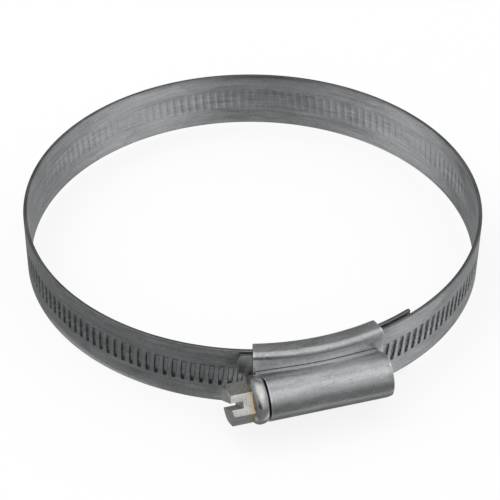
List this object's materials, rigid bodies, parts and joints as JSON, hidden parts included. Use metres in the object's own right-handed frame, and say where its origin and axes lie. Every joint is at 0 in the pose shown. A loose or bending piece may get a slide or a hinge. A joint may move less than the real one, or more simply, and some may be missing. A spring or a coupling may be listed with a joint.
{
  "type": "hose clamp",
  "caption": "Worm-drive hose clamp: a grooved steel band through a folded housing, drawn tight by a slotted hex-head worm screw.",
  "frame": {"origin": "centre of the clamp's bounding box, at half the band's width; the free ring's centre is 4.2 mm from it towards +Y", "axes": "+Z along the hose, the housing on the -Y side, the screw parallel to X with its head towards -X"},
  "size_m": [0.096, 0.1046, 0.0152],
  "materials": {
    "band": "galvanised strip, satin, with faint lengthwise rolling lines",
    "housing": "zinc-plated pressed sheet, satin",
    "screw": "bright zinc plate with faint yellow and blue tints"
  },
  "bodies": {
    "housing": {"housing": "housing", "band_fixed_end": "band"},
    "screw": {"worm_screw": "screw"},
    "tail": {"band_tail": "band"},
    "segment_01": {"band_segment_01": "band"},
    "segment_02": {"band_segment_02": "band"},
    "segment_03": {"band_segment_03": "band"},
    "segment_04": {"band_segment_04": "band"},
    "segment_05": {"band_segment_05": "band"},
    "segment_06": {"band_segment_06": "band"},
    "segment_07": {"band_segment_07": "band"},
    "segment_08": {"band_segment_08": "band"},
    "segment_09": {"band_segment_09": "band"},
    "segment_10": {"band_segment_10": "band"},
    "segment_11": {"band_segment_11": "band"},
    "segment_12": {"band_segment_12": "band"}
  },
  "joints": [
    {"name": "screw_turn", "type": "hinge", "parent": "housing", "child": "screw", "pos_m": [-0.00154, -0.04772, 0], "axis": [1, 0, 0], "range_deg": [-2560, 5440]},
    {"name": "tail_slide", "type": "hinge", "parent": "housing", "child": "tail", "pos_m": [-0.00154, 0.0052, 0], "axis": [0, 0, -1], "range_deg": [-14.9, 31.7]},
    {"name": "flex_01", "type": "hinge", "parent": "tail", "child": "segment_01", "pos_m": [0.04021, -0.02125, 0], "axis": [0, 0, 1], "range_deg": [-3, 6.33]},
    {"name": "flex_02", "type": "hinge", "parent": "segment_01", "child": "segment_02", "pos_m": [0.0471, -0.00267, 0], "axis": [0, 0, 1], "range_deg": [-1.82, 3.81]},
    {"name": "flex_03", "type": "hinge", "parent": "segment_02", "child": "segment_03", "pos_m": [0.04583, 0.01709, 0], "axis": [0, 0, 1], "range_deg": [-1.03, 2.12]},
    {"name": "flex_04", "type": "hinge", "parent": "segment_03", "child": "segment_04", "pos_m": [0.03662, 0.03463, 0], "axis": [0, 0, 1], "range_deg": [-0.6, 1.22]},
    {"name": "flex_05", "type": "hinge", "parent": "segment_04", "child": "segment_05", "pos_m": [0.02107, 0.0469, 0], "axis": [0, 0, 1], "range_deg": [-0.51, 1.03]},
    {"name": "flex_06", "type": "hinge", "parent": "segment_05", "child": "segment_06", "pos_m": [0.00188, 0.05179, 0], "axis": [0, 0, 1], "range_deg": [-0.71, 1.45]},
    {"name": "flex_07", "type": "hinge", "parent": "segment_06", "child": "segment_07", "pos_m": [-0.01764, 0.04843, 0], "axis": [0, 0, 1], "range_deg": [-1.09, 2.27]},
    {"name": "flex_08", "type": "hinge", "parent": "segment_07", "child": "segment_08", "pos_m": [-0.03411, 0.03743, 0], "axis": [0, 0, 1], "range_deg": [-1.48, 3.1]},
    {"name": "flex_09", "type": "hinge", "parent": "segment_08", "child": "segment_09", "pos_m": [-0.04467, 0.02067, 0], "axis": [0, 0, 1], "range_deg": [-1.69, 3.53]},
    {"name": "flex_10", "type": "hinge", "parent": "segment_09", "child": "segment_10", "pos_m": [-0.0475, 0.00106, 0], "axis": [0, 0, 1], "range_deg": [-1.61, 3.36]},
    {"name": "flex_11", "type": "hinge", "parent": "segment_10", "child": "segment_11", "pos_m": [-0.0421, -0.01799, 0], "axis": [0, 0, 1], "range_deg": [-1.32, 2.75]},
    {"name": "flex_12", "type": "hinge", "parent": "segment_11", "child": "segment_12", "pos_m": [-0.02941, -0.0332, 0], "axis": [0, 0, 1], "range_deg": [-1.02, 2.1]}
  ],
  "couplings": [
    {"joint": "screw_turn", "follows": "tail_slide", "ratio": 171.19},
    {"joint": "flex_01", "follows": "tail_slide", "ratio": 0.1936},
    {"joint": "flex_02", "follows": "tail_slide", "ratio": 0.1159},
    {"joint": "flex_03", "follows": "tail_slide", "ratio": 0.0639},
    {"joint": "flex_04", "follows": "tail_slide", "ratio": 0.036},
    {"joint": "flex_05", "follows": "tail_slide", "ratio": 0.0301},
    {"joint": "flex_06", "follows": "tail_slide", "ratio": 0.0431},
    {"joint": "flex_07", "follows": "tail_slide", "ratio": 0.0683},
    {"joint": "flex_08", "follows": "tail_slide", "ratio": 0.0939},
    {"joint": "flex_09", "follows": "tail_slide", "ratio": 0.1071},
    {"joint": "flex_10", "follows": "tail_slide", "ratio": 0.1019},
    {"joint": "flex_11", "follows": "tail_slide", "ratio": 0.0832},
    {"joint": "flex_12", "follows": "tail_slide", "ratio": 0.063}
  ]
}
